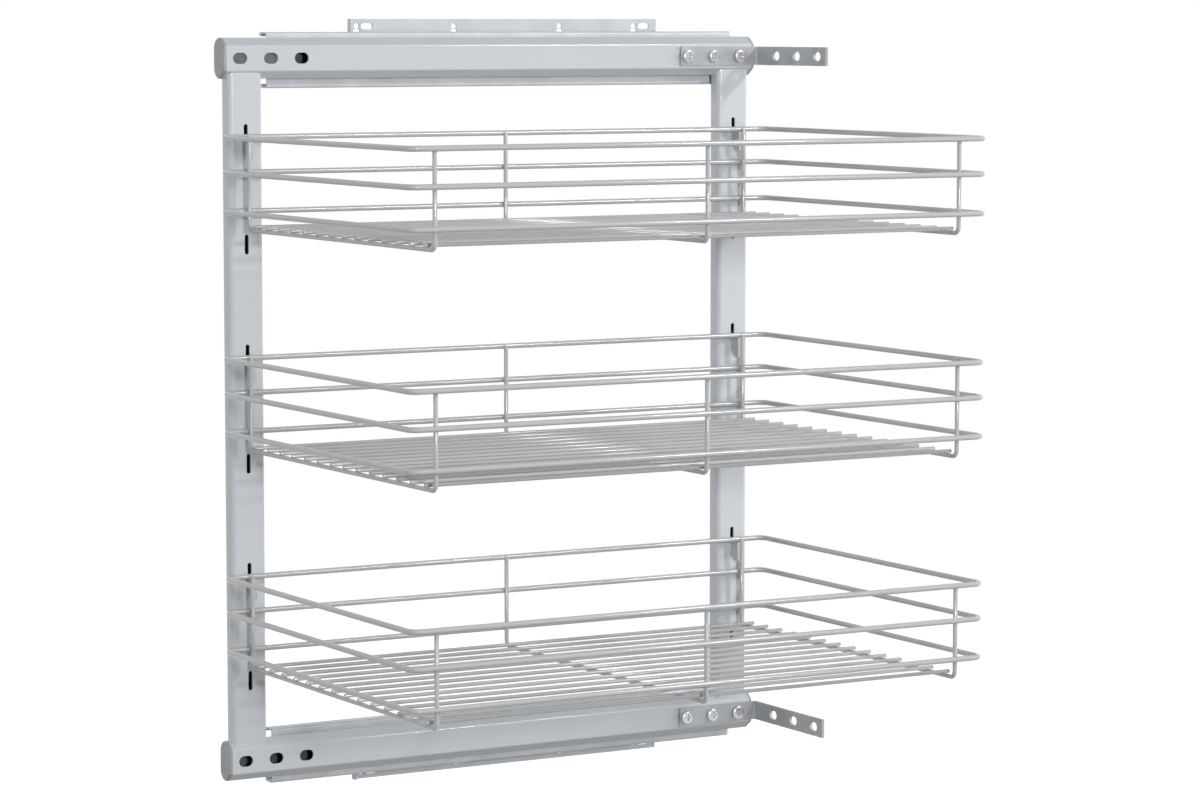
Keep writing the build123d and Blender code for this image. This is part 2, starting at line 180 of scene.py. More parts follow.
def build_mottle() -> bpy.types.NodeTree:
    """Broad soft patches, as left by handling and zinc plating.

    Returns:
        A group with one value that runs between Low and High.
    """
    tree = node_group(Effect.MOTTLE, {"Scale": 40.0, "Low": 0.0, "High": 1.0}, ("Value",))
    nodes, links = tree.nodes, tree.links
    noise = nodes.new("ShaderNodeTexNoise")
    noise.inputs["Detail"].default_value = 4.0
    noise.inputs["Roughness"].default_value = 0.6
    spread = nodes.new("ShaderNodeMapRange")
    spread.inputs["From Min"].default_value = 0.35
    spread.inputs["From Max"].default_value = 0.65
    links.new(nodes["in"].outputs["Vector"], noise.inputs["Vector"])
    links.new(nodes["in"].outputs["Scale"], noise.inputs["Scale"])
    links.new(noise.outputs["Fac"], spread.inputs["Value"])
    links.new(nodes["in"].outputs["Low"], spread.inputs["To Min"])
    links.new(nodes["in"].outputs["High"], spread.inputs["To Max"])
    links.new(spread.outputs["Result"], nodes["out"].inputs["Value"])
    return tree


class Finish:
    """What every finish can do: start a material and join groups to its shader."""

    def start(self, name: str) -> tuple[bpy.types.Material, bpy.types.Node, bpy.types.Node]:
        """Makes an empty material with one Principled shader.

        Args:
            name: The material's name.

        Returns:
            The material, its shader and its texture coordinate node.
        """
        material = bpy.data.materials.new(name)
        material.use_nodes = True
        material.node_tree.nodes.clear()
        output = material.node_tree.nodes.new("ShaderNodeOutputMaterial")
        shader = material.node_tree.nodes.new("ShaderNodeBsdfPrincipled")
        place = material.node_tree.nodes.new("ShaderNodeTexCoord")
        material.node_tree.links.new(shader.outputs["BSDF"], output.inputs["Surface"])
        return material, shader, place

    def group(self, material: bpy.types.Material, effect: Effect, values: dict[str, float],
              vector: bpy.types.NodeSocket) -> bpy.types.Node:
        """Places a shared effect in a material.

        Args:
            material: The material that gets it.
            effect: Which effect.
            values: Its number inputs.
            vector: The coordinates that it reads.

        Returns:
            The group node.
        """
        node = material.node_tree.nodes.new("ShaderNodeGroup")
        node.node_tree = bpy.data.node_groups[effect.value]
        for key, value in values.items():
            node.inputs[key].default_value = value
        material.node_tree.links.new(vector, node.inputs["Vector"])
        return node

    def stretched(self, material: bpy.types.Material, vector: bpy.types.NodeSocket, along: Axis,
                  ratio: float) -> bpy.types.NodeSocket:
        """Coordinates drawn out along one axis.

        Args:
            material: The material that gets the Mapping node.
            vector: The coordinates to stretch.
            along: The direction of the streaks.
            ratio: How much longer than wide they are.

        Returns:
            The stretched coordinates.
        """
        mapping = material.node_tree.nodes.new("ShaderNodeMapping")
        scale = tuple(1.0 / ratio if part else 1.0 for part in along.value)
        mapping.inputs["Scale"].default_value = scale
        material.node_tree.links.new(vector, mapping.inputs["Vector"])
        return mapping.outputs["Vector"]

    def blend(self, material: bpy.types.Material, low: Colour, high: Colour,
              factor: bpy.types.NodeSocket) -> bpy.types.NodeSocket:
        """A colour between two, by a value that changes over the surface.

        Args:
            material: The material that gets the Mix node.
            low: The colour at 0.
            high: The colour at 1.
            factor: The changing value.

        Returns:
            The mixed colour.
        """
        mix = material.node_tree.nodes.new("ShaderNodeMix")
        mix.data_type = "RGBA"
        for socket, colour in zip(MIX_COLOURS, (low, high)):
            mix.inputs[socket].default_value = colour
        material.node_tree.links.new(factor, mix.inputs[MIX_FACTOR])
        return mix.outputs[MIX_COLOUR]

    def relief(self, material: bpy.types.Material, shader: bpy.types.Node, height: bpy.types.NodeSocket,
               strength: float, distance: float) -> None:
        """Adds a bump to the shader.

        Args:
            material: The material.
            shader: Its Principled shader.
            height: The changing height.
            strength: Strength of the bump.
            distance: Its depth in metres.
        """
        bump = material.node_tree.nodes.new("ShaderNodeBump")
        bump.inputs["Strength"].default_value = strength
        bump.inputs["Distance"].default_value = distance
        material.node_tree.links.new(height, bump.inputs["Height"])
        material.node_tree.links.new(bump.outputs["Normal"], shader.inputs["Normal"])


@dataclass(frozen=True)
class SprayedSilver(Finish):
    """Silver coat of the rails, uprights and wires."""

    name: str
    dark: Colour
    light: Colour
    low: float = 0.30
    high: float = 0.40
    coat: float = 0.75
    coat_roughness: float = 0.12
    wave: float = 0.02
    wave_depth: float = 0.0004
    ior: float = 1.06

    def make(self) -> bpy.types.Material:
        """The finished material."""
        material, shader, place = self.start(self.name)
        links = material.node_tree.links
        values = {"Low": self.low, "High": self.high}
        speckle = self.group(material, Effect.SPECKLE, values, place.outputs["Object"])
        colour = self.blend(material, self.dark, self.light, speckle.outputs["Flake"])
        links.new(colour, shader.inputs["Base Color"])
        links.new(speckle.outputs["Roughness"], shader.inputs["Roughness"])
        self.relief(material, shader, speckle.outputs["Height"], self.wave, self.wave_depth)
        shader.inputs["Coat Weight"].default_value = self.coat
        shader.inputs["Coat Roughness"].default_value = self.coat_roughness
        shader.inputs["IOR"].default_value = self.ior
        return material


@dataclass(frozen=True)
class PlatedSteel(Finish):
    """Zinc-plated sheet or strip with a rolled grain and soft patches."""

    name: str
    dark: Colour
    light: Colour
    along: Axis = Axis.X
    metallic: float = 0.08
    low: float = 0.32
    high: float = 0.44
    streak: float = 40.0
    patch_scale: float = 45.0
    bump: float = 0.05
    bump_depth: float = 0.0002
    ior: float = 1.3

    def make(self) -> bpy.types.Material:
        """The finished material."""
        material, shader, place = self.start(self.name)
        links = material.node_tree.links
        drawn = self.stretched(material, place.outputs["Object"], self.along, self.streak)
        grain = self.group(material, Effect.GRAIN, {"Low": self.low, "High": self.high}, drawn)
        values = {"Scale": self.patch_scale}
        patches = self.group(material, Effect.MOTTLE, values, place.outputs["Object"])
        colour = self.blend(material, self.dark, self.light, patches.outputs["Value"])
        links.new(colour, shader.inputs["Base Color"])
        links.new(grain.outputs["Roughness"], shader.inputs["Roughness"])
        self.relief(material, shader, grain.outputs["Height"], self.bump, self.bump_depth)
        shader.inputs["Metallic"].default_value = self.metallic
        shader.inputs["IOR"].default_value = self.ior
        return material


@dataclass(frozen=True)
class MouldedPlastic(Finish):
    """Grey moulded plastic with a fine spark-eroded grain."""

    name: str
    dark: Colour
    light: Colour
    grain: float = 1400.0
    low: float = 0.42
    high: float = 0.56
    patch_scale: float = 120.0
    bump: float = 0.25
    bump_depth: float = 0.0001

    def make(self) -> bpy.types.Material:
        """The finished material."""
        material, shader, place = self.start(self.name)
        links = material.node_tree.links
        values = {"Flake Scale": self.grain, "Wave Scale": self.grain,
                  "Low": self.low, "High": self.high}
        speckle = self.group(material, Effect.SPECKLE, values, place.outputs["Object"])
        values = {"Scale": self.patch_scale}
        patches = self.group(material, Effect.MOTTLE, values, place.outputs["Object"])
        colour = self.blend(material, self.dark, self.light, patches.outputs["Value"])
        links.new(colour, shader.inputs["Base Color"])
        links.new(speckle.outputs["Roughness"], shader.inputs["Roughness"])
        self.relief(material, shader, speckle.outputs["Height"], self.bump, self.bump_depth)
        return material


@dataclass(frozen=True)
class PolishedSteel(Finish):
    """Bright turned or ground steel of bolts and balls."""

    name: str
    dark: Colour
    light: Colour
    low: float = 0.16
    high: float = 0.28
    flake_scale: float = 1500.0
    wave_scale: float = 800.0
    bump: float = 0.06
    bump_depth: float = 0.0001
    metallic: float = 0.9

    def make(self) -> bpy.types.Material:
        """The finished material."""
        material, shader, place = self.start(self.name)
        links = material.node_tree.links
        values = {"Flake Scale": self.flake_scale, "Wave Scale": self.wave_scale,
                  "Low": self.low, "High": self.high}
        speckle = self.group(material, Effect.SPECKLE, values, place.outputs["Object"])
        colour = self.blend(material, self.dark, self.light, speckle.outputs["Flake"])
        links.new(colour, shader.inputs["Base Color"])
        links.new(speckle.outputs["Roughness"], shader.inputs["Roughness"])
        self.relief(material, shader, speckle.outputs["Height"], self.bump, self.bump_depth)
        shader.inputs["Metallic"].default_value = self.metallic
        return material


def grey(level: float, blue: float) -> Colour:
    """A grey, given in linear light, with a touch of blue."""
    return (level * (1.0 - blue), level, level * (1.0 + blue), 1.0)


def greys(dark: float, light: float, blue: float = 0.0) -> tuple[Colour, Colour]:
    """The dark and the light tone of a finish."""
    return grey(dark, blue), grey(light, blue)


def dress(nodes: Iterable[str], material: bpy.types.Material) -> None:
    """Gives CAD nodes a finish.

    Args:
        nodes: Names of the nodes.
        material: The finish.
    """
    for name in nodes:
        piece = frame["nodes"][name]
        for slot in piece.material_slots:
            slot.material = material
        if not piece.material_slots:
            piece.data.materials.append(material)
        LOG.info("dressed %s with %s", name, material.name)


def body_of(node: str) -> str:
    """The body that a CAD node belongs to."""
    for body, nodes in frame["record"]["behaviour"]["bodies"].items():
        if node in nodes:
            return body
    raise KeyError(node)


def select_only(piece: bpy.types.Object) -> None:
    """Selects one object and makes it the active one."""
    bpy.ops.object.select_all(action="DESELECT")
    piece.select_set(True)
    bpy.context.view_layer.objects.active = piece


def hand_over(piece: bpy.types.Object, node: str, material: bpy.types.Material) -> bpy.types.Object:
    """Lets a finished piece stand for a CAD node.

    Args:
        piece: The finished piece, at the origin.
        node: The CAD node that it replaces.
        material: Its finish.

    Returns:
        The piece.
    """
    piece.name = f"{node}_made"
    piece.data.name = piece.name
    piece.data.materials.clear()
    piece.data.materials.append(material)
    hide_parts(node)
    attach(piece, body_of(node))
    LOG.info("%s stands for %s", piece.name, node)
    return piece


def eased(node: str, material: bpy.types.Material, width: float,
          sharp: float = EDGE_ANGLE) -> bpy.types.Object:
    """A copy of a CAD node whose sharp edges are broken, as after tumbling.

    Args:
        node: The CAD node.
        material: Its finish.
        width: Width of the broken edge in millimetres.
        sharp: Smallest angle in degrees that counts as an edge.

    Returns:
        The new piece.
    """
    source = frame["nodes"][node]
    piece = source.copy()
    piece.data = source.data.copy()
    bpy.context.scene.collection.objects.link(piece)
    piece.parent = None
    piece.matrix_world = source.matrix_world.copy()
    piece.hide_render = False
    piece.hide_viewport = False
    select_only(piece)
    bpy.ops.object.transform_apply(location=True, rotation=True, scale=True)
    bpy.ops.object.mode_set(mode="EDIT")
    bpy.ops.mesh.select_all(action="SELECT")
    bpy.ops.mesh.remove_doubles(threshold=CAD_GAP * MM)
    bpy.ops.mesh.dissolve_limited(angle_limit=math.radians(FLAT_ANGLE))
    bpy.ops.mesh.normals_make_consistent(inside=False)
    bpy.ops.object.mode_set(mode="OBJECT")
    bevel = piece.modifiers.new("edge", "BEVEL")
    bevel.width = width * MM
    bevel.segments = EDGE_STEPS
    bevel.limit_method = "ANGLE"
    bevel.angle_limit = math.radians(sharp)
    bevel.use_clamp_overlap = True
    bevel.miter_outer = "MITER_ARC"
    bpy.ops.object.modifier_apply(modifier=bevel.name)
    bpy.ops.object.shade_smooth_by_angle(angle=math.radians(sharp))
    weight = piece.modifiers.new("weight", "WEIGHTED_NORMAL")
    weight.keep_sharp = True
    bpy.ops.object.modifier_apply(modifier=weight.name)
    return hand_over(piece, node, material)


def line(piece: bpy.types.Object, material: bpy.types.Material,
         inside: Callable[[Vector], bool]) -> None:
    """Gives the inner faces of a piece a second, darker finish, which is painted shade for the shade
    inside it.

    Args:
        piece: The piece.
        material: The finish of its inner faces.
        inside: Says whether a face's middle, in millimetres, lies inside.
    """
    piece.data.materials.append(material)
    for face in piece.data.polygons:
        if inside(face.center / MM):
            face.material_index = 1


@dataclass
class Bender:
    """Bends one round wire by extruding a ring along straights and spinning it round bends."""

    radius: float
    sides: int
    bend_steps: int = 8

    def start(self, place: Place, heading: Vector) -> None:
        """Sets the first ring.

        Args:
            place: Where the wire starts, in millimetres.
            heading: The way that it runs.
        """
        turn = heading.to_track_quat("Z", "Y").to_euler()
        bpy.ops.object.select_all(action="DESELECT")
        bpy.ops.mesh.primitive_circle_add(vertices=self.sides, radius=self.radius * MM,
                                          location=Vector(place) * MM, rotation=turn)
        bpy.ops.object.transform_apply(location=True, rotation=True, scale=True)
        bpy.ops.object.mode_set(mode="EDIT")
        bpy.ops.mesh.select_all(action="SELECT")

    def run(self, step: Place) -> None:
        """Draws the ring out along a straight, in millimetres."""
        bpy.ops.mesh.extrude_region_move(TRANSFORM_OT_translate={"value": Vector(step) * MM})

    def bend(self, centre: Place, axis: Place, angle: float) -> None:
        """Spins the ring round a bend.

        Args:
            centre: Middle of the bend in millimetres.
            axis: The axis that it turns about.
            angle: How far it turns, in degrees.
        """
        bpy.ops.mesh.spin(steps=self.bend_steps, angle=-math.radians(angle),
                          center=Vector(centre) * MM, axis=axis)

    def dome(self, heading: Vector) -> None:
        """Closes the open ring with a low dome.

        Args:
            heading: The way that the dome points.
        """
        for rise, shrink in DOME_STEPS:
            bpy.ops.mesh.extrude_region_move(
                TRANSFORM_OT_translate={"value": heading.normalized() * rise * self.radius * MM})
            bpy.ops.transform.resize(value=(shrink, shrink, shrink))
        bpy.ops.mesh.edge_face_add()

    def finish(self, merge: bool) -> bpy.types.Object:
        """Leaves the edit and smooths the wire.

        Args:
            merge: Whether the last ring meets the first.

        Returns:
            The wire.
        """
        bpy.ops.mesh.select_all(action="SELECT")
        if merge:
            bpy.ops.mesh.remove_doubles(threshold=RING_GAP * MM)
        bpy.ops.mesh.normals_make_consistent(inside=False)
        bpy.ops.object.mode_set(mode="OBJECT")
        bpy.ops.object.shade_smooth_by_angle(angle=math.radians(WIRE_ANGLE))
        return bpy.context.object


def moved_copy(piece: bpy.types.Object, step: Place) -> bpy.types.Object:
    """A copy with its own mesh, moved by some millimetres and left at the origin."""
    copy = piece.copy()
    copy.data = piece.data.copy()
    bpy.context.scene.collection.objects.link(copy)
    select_only(copy)
    bpy.ops.transform.translate(value=Vector(step) * MM)
    bpy.ops.object.transform_apply(location=True, rotation=True, scale=True)
    return copy


def joined(pieces: list[bpy.types.Object]) -> bpy.types.Object:
    """One object of several loose parts."""
    bpy.ops.object.select_all(action="DESELECT")
    for piece in pieces:
        piece.select_set(True)
    bpy.context.view_layer.objects.active = pieces[0]
    bpy.ops.object.join()
    return bpy.context.object


@dataclass
class Finishes:
    """All finishes of the object, made once."""

    made: dict[str, bpy.types.Material] = field(default_factory=dict)

    def build(self) -> None:
        """Builds the shared effects, then each finish."""
        build_grain()
        build_speckle()
        build_mottle()
        finishes = (
            SprayedSilver("rail_silver", *greys(0.525, 0.595, 0.055)),
            # The same silver coat as the rails, made a little lighter on the uprights as painted light,
            # to make up for the light that falls on them.
            SprayedSilver("upright_silver", *greys(0.535, 0.605, 0.05)),
            SprayedSilver("wire_silver", *greys(0.40, 0.49, 0.015), low=0.26, high=0.36, coat=1.0),
            SprayedSilver("weld_silver", *greys(0.37, 0.49, 0.015), coat=0.4, wave=0.2),
            PlatedSteel("slide_zinc", *greys(0.55, 0.63, 0.04)),
            PlatedSteel("plate_zinc", *greys(0.51, 0.57, 0.055)),
            PlatedSteel("bracket_zinc", *greys(0.38, 0.46, 0.03)),
            PlatedSteel("hook_zinc", *greys(0.44, 0.54, 0.01), along=Axis.Z),
            # Inner walls of the rails and uprights: partly the tubes' unpainted steel, and made this
            # dark as painted shade for the inside of the tubes.
            PlatedSteel("bare_steel", *greys(0.10, 0.14), metallic=0.1),
            PolishedSteel("bolt_nickel", *greys(0.50, 0.62, 0.01)),
            PolishedSteel("ball_chrome", *greys(0.62, 0.70, 0.01), low=0.05, high=0.1),
            MouldedPlastic("cap_grey", *greys(0.28, 0.34, 0.02)),
            # The cap's own grey plastic, made much darker for its tongue inside the rail: painted shade
            # for its place behind the slots.
            MouldedPlastic("tongue_grey", *greys(0.085, 0.115, 0.03)),
            MouldedPlastic("cage_white", *greys(0.60, 0.66)),
        )
        for finish in finishes:
            self.made[finish.name] = finish.make()

    def __getitem__(self, name: str) -> bpy.types.Material:
        """The finish of that name."""
        return self.made[name]


@dataclass
class Slides:
    """The two telescopic slides and their wall plates. Broken edges are in millimetres."""

    sides: tuple[str, str] = ("upper", "lower")
    plate_edge: float = 0.22
    channel_edge: float = 0.18

    def build(self, finishes: Finishes) -> None:
        """Eases the plates and channels and dresses what slides inside them."""
        for side in self.sides:
            eased(f"{side}_wall_plate", finishes["plate_zinc"], self.plate_edge)
            eased(f"{side}_outer_channel", finishes["slide_zinc"], self.channel_edge)
            dress([f"{side}_intermediate_member", f"{side}_inner_member"], finishes["slide_zinc"])
            dress([f"{side}_outer_ball_cage", f"{side}_inner_ball_cage"], finishes["cage_white"])
            dress([f"{side}_outer_balls", f"{side}_inner_balls"], finishes["ball_chrome"])
        dress(["plate_rivets", "channel_rivets"], finishes["bolt_nickel"])


@dataclass
class PullOutFrame:
    """Rails, uprights, end caps and door brackets. Sizes are in millimetres."""

    sides: tuple[str, str] = ("upper", "lower")
    rail_levels: dict[str, float] = field(default_factory=lambda: {"upper": 536.8, "lower": 23.0})
    rail_middle: float = -24.2
    rail_half: tuple[float, float] = (8.5, 14.8)
    rail_corner: float = 8.0
    rail_slant: tuple[float, float] = (7.6, 5.6)
    upright_places: dict[str, float] = field(default_factory=lambda: {"rear": -232.35, "front": 182.65})
    upright_middle: float = -24.2
    upright_half: tuple[float, float] = (13.75, 7.0)
    upright_corner: float = 4.5
    # Faces deeper than this below the outer face get the dark inner finish, painted shade for the
    # inside of the tubes.
    inner_shade_depth: float = 1.0
    tongue_from: float = -247.5
    edge: float = 0.3
    bolt_edge: float = 0.12
    bolt_angle: float = 40.0

    def depth(self, across: float, along: float, half: tuple[float, float], corner: float) -> float:
        """How deep a point lies within a rounded oblong section.

        Args:
            across: Distance from the section's middle one way.
            along: Distance from it the other way.
            half: The section's half sizes.
            corner: Radius of its corners.

        Returns:
            The depth below the outer face.
        """
        out_across = abs(across) - half[0] + corner
        out_along = abs(along) - half[1] + corner
        beyond = math.hypot(max(out_across, 0.0), max(out_along, 0.0))
        return corner - beyond - min(max(out_across, out_along), 0.0)

    def inside_rail(self, place: Vector, level: float) -> bool:
        """Whether a point lies on the inner wall of a rail, which gets the painted shade."""
        across, along = place.y - self.rail_middle, place.z - level
        depth = self.depth(across, along, self.rail_half, self.rail_corner)
        to_front, to_edge = self.rail_half[0] + across, self.rail_half[1] - abs(along)
        span = math.hypot(*self.rail_slant)
        slant_depth, slant_height = self.rail_slant
        below_slant = (to_front * slant_height + (to_edge - slant_height) * slant_depth) / span
        return min(depth, below_slant) > self.inner_shade_depth

    def inside_upright(self, place: Vector, middle: float) -> bool:
        """Whether a point lies on the inner wall of an upright, which gets the painted shade."""
        across, along = place.x - middle, place.y - self.upright_middle
        return self.depth(across, along, self.upright_half, self.upright_corner) > self.inner_shade_depth

    def build(self, finishes: Finishes) -> None:
        """Eases the frame's nodes and gives them their finishes."""
        for side in self.sides:
            rail = eased(f"{side}_rail", finishes["rail_silver"], self.edge)
            level = self.rail_levels[side]
            # The rail's inner walls get painted shade.
            line(rail, finishes["bare_steel"], lambda place: self.inside_rail(place, level))
        for end, middle in self.upright_places.items():
            # The uprights get the lighter copy of the rails' silver, which is painted light.
            upright = eased(f"{end}_upright", finishes["upright_silver"], self.edge)
            # The upright's inner walls get painted shade.
            line(upright, finishes["bare_steel"], lambda place: self.inside_upright(place, middle))
        cap = eased("upper_rear_end_cap", finishes["cap_grey"], self.edge)
        # The tongue inside the rail gets the darker copy of the cap's plastic, which is painted shade.
        line(cap, finishes["tongue_grey"], lambda place: place.x > self.tongue_from)
        eased("plain_end_caps", finishes["cap_grey"], self.edge)
        for side in self.sides:
            eased(f"{side}_door_bracket", finishes["bracket_zinc"], self.edge)
        eased("bracket_bolts", finishes["bolt_nickel"], self.bolt_edge, sharp=self.bolt_angle)
        dress(["nut_strips"], finishes["slide_zinc"])


@dataclass
class Basket:
    """One hanging basket of welded wire. Sizes are in millimetres."""

    name: str
    low_rim: float
    middle_x: float = -24.25
    frame_x: float = -24.85
    back_rim: float = -38.35
    front_rim: float = -334.35
    half_length: float = 230.5
    corner: float = 7.0
    rim_radius: float = 2.0
    u_radius: float = 1.6
    floor_radius: float = 1.4
    rim_steps: tuple[float, float, float] = (0.0, 28.1, 53.4)
    drop: float = 13.8
    floor_rise: float = 2.8
    u_bend: float = 5.0
    u_reach: float = 210.15
    back_wire: float = -41.75
    front_wire: float = -330.95
    floor_count: int = 14
    floor_pitch: float = 20.35
    floor_half: float = 213.15
    rim_sides: int = 16
    u_sides: int = 14
    floor_sides: int = 12
    floor_weld: Place = (1.35, 1.25, 0.75)
    floor_weld_rise: float = 0.1
    rim_weld: Place = (1.2, 0.8, 1.3)
    rim_weld_shift: float = 0.2
    weld_columns: int = 10
    weld_rows: int = 6
    hook_edge: float = 0.25

    def first_wire(self) -> float:
        """Where the front wire of the floor lies."""
        return (self.back_wire + self.front_wire) / 2 - (self.floor_count - 1) / 2 * self.floor_pitch

    def u_places(self) -> Place:
        """Where the three U wires stand."""
        return (self.frame_x - self.u_reach, self.middle_x, self.frame_x + self.u_reach)

    def rim(self) -> bpy.types.Object:
        """The low rim, bent from one wire that closes on itself."""
        west, east = self.middle_x - self.half_length, self.middle_x + self.half_length
        straight_x = 2 * (self.half_length - self.corner)
        straight_y = (self.back_rim - self.front_rim) - 2 * self.corner
        z = self.low_rim
        wire = Bender(self.rim_radius, self.rim_sides)
        wire.start((west + self.corner, self.back_rim, z), Vector((1.0, 0.0, 0.0)))
        wire.run((straight_x, 0.0, 0.0))
        wire.bend((east - self.corner, self.back_rim - self.corner, z), (0.0, 0.0, -1.0), 90.0)
        wire.run((0.0, -straight_y, 0.0))
        wire.bend((east - self.corner, self.front_rim + self.corner, z), (0.0, 0.0, -1.0), 90.0)
        wire.run((-straight_x, 0.0, 0.0))
        wire.bend((west + self.corner, self.front_rim + self.corner, z), (0.0, 0.0, -1.0), 90.0)
        wire.run((0.0, straight_y, 0.0))
        wire.bend((west + self.corner, self.back_rim - self.corner, z), (0.0, 0.0, -1.0), 90.0)
        return wire.finish(merge=True)

    def u_wire(self, x: float) -> bpy.types.Object:
        """One wire bent to a U, with domed ends.

        Args:
            x: Where it stands.

        Returns:
            The wire.
        """
        top = self.low_rim + self.rim_steps[2]
        low = self.low_rim - self.drop
        rise = top - low - self.u_bend
        depth = (self.back_wire - self.front_wire) - 2 * self.u_bend
        end = DOME_DEPTH * self.u_radius
        wire = Bender(self.u_radius, self.u_sides)
        wire.start((x, self.back_wire, top - end), Vector((0.0, 0.0, -1.0)))
        wire.dome(Vector((0.0, 0.0, 1.0)))
        bpy.ops.mesh.select_all(action="DESELECT")
        bpy.ops.mesh.select_non_manifold()
        wire.run((0.0, 0.0, -(rise - end)))
        wire.bend((x, self.back_wire - self.u_bend, low + self.u_bend), (1.0, 0.0, 0.0), -90.0)
        wire.run((0.0, -depth, 0.0))
        wire.bend((x, self.front_wire + self.u_bend, low + self.u_bend), (1.0, 0.0, 0.0), -90.0)
        wire.run((0.0, 0.0, rise - end))
        wire.dome(Vector((0.0, 0.0, 1.0)))
        return wire.finish(merge=False)

    def floor_wire(self) -> bpy.types.Object:
        """The front wire of the floor, cut to length with rounded ends."""
        z = self.low_rim - self.drop + self.floor_rise
        end = DOME_DEPTH * self.floor_radius
        tip = (self.middle_x - self.floor_half + end, self.first_wire(), z)
        wire = Bender(self.floor_radius, self.floor_sides)
        wire.start(tip, Vector((1.0, 0.0, 0.0)))
        wire.dome(Vector((-1.0, 0.0, 0.0)))
        bpy.ops.mesh.select_all(action="DESELECT")
        bpy.ops.mesh.select_non_manifold()
        wire.run((2 * (self.floor_half - end), 0.0, 0.0))
        wire.dome(Vector((1.0, 0.0, 0.0)))
        return wire.finish(merge=False)

    def nugget(self, place: Place, size: Place) -> bpy.types.Object:
        """A small lump of weld metal where two wires cross.

        Args:
            place: Its middle.
            size: Its half sizes along X, Y and Z.

        Returns:
            The lump.
        """
        bpy.ops.object.select_all(action="DESELECT")
        bpy.ops.mesh.primitive_uv_sphere_add(segments=self.weld_columns, ring_count=self.weld_rows,
                                             radius=MM, location=Vector(place) * MM, scale=size)
        bpy.ops.object.transform_apply(location=True, rotation=True, scale=True)
        bpy.ops.object.shade_smooth()
        return bpy.context.object

    def welds(self) -> list[bpy.types.Object]:
        """A lump at every crossing of floor, rims and U wires."""
        lumps = []
        places = self.u_places()
        floor_z = self.low_rim - self.drop + self.floor_rise / 2 + self.floor_weld_rise
        pattern = self.nugget((places[0], self.first_wire(), floor_z), self.floor_weld)
        lumps.append(pattern)
        for column, x in enumerate(places):
            for row in range(self.floor_count):
                if column or row:
                    lumps.append(moved_copy(pattern, (x - places[0], row * self.floor_pitch, 0.0)))
        sides = ((self.back_wire + self.back_rim) / 2 - self.rim_weld_shift,
                 (self.front_wire + self.front_rim) / 2 + self.rim_weld_shift)
        rim_pattern = self.nugget((places[0], sides[0], self.low_rim), self.rim_weld)
        lumps.append(rim_pattern)
        for x in places:
            for y in sides:
                for step in self.rim_steps:
                    if (x, y, step) != (places[0], sides[0], 0.0):
                        lumps.append(moved_copy(rim_pattern, (x - places[0], y - sides[0], step)))
        return lumps

    def build(self, finishes: Finishes) -> None:
        """Bends and welds the wires of the basket."""
        silver = finishes["wire_silver"]
        low = self.rim()
        middle = moved_copy(low, (0.0, 0.0, self.rim_steps[1]))
        top = moved_copy(low, (0.0, 0.0, self.rim_steps[2]))
        for piece, label in ((low, "low_rim"), (middle, "middle_rim"), (top, "top_rim")):
            hand_over(piece, f"{self.name}_{label}", silver)
        places = self.u_places()
        first = self.u_wire(places[0])
        others = [moved_copy(first, (x - places[0], 0.0, 0.0)) for x in places[1:]]
        hand_over(joined([first, *others]), f"{self.name}_u_wires", silver)
        wire = self.floor_wire()
        steps = range(1, self.floor_count)
        wires = [moved_copy(wire, (0.0, row * self.floor_pitch, 0.0)) for row in steps]
        hand_over(joined([wire, *wires]), f"{self.name}_floor_wires", silver)
        eased(f"{self.name}_hook_plates", finishes["hook_zinc"], self.hook_edge)
        welds = joined(self.welds())
        welds.name = f"{self.name}_welds"
        welds.data.name = welds.name
        welds.data.materials.append(finishes["weld_silver"])
        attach(welds, self.name)
        LOG.info("built %s", self.name)


@dataclass(frozen=True)
class SoftBox:
    """A rectangular lamp that faces the middle of the object. Sizes are in metres and watts."""

    name: str
    place: Place
    size: tuple[float, float]
    power: float
    glints: bool = False

    def hang(self, middle: Vector) -> None:
        """Adds the lamp.

        Args:
            middle: The middle of the object, which its place is measured from.
        """
        data = bpy.data.lights.new(self.name, "AREA")
        data.shape = "RECTANGLE"
        data.size, data.size_y = self.size
        data.energy = self.power
        lamp = bpy.data.objects.new(self.name, data)
        bpy.context.scene.collection.objects.link(lamp)
        lamp.location = middle + Vector(self.place)
        lamp.rotation_euler = (middle - lamp.location).to_track_quat("-Z", "Y").to_euler()
        lamp.visible_glossy = self.glints


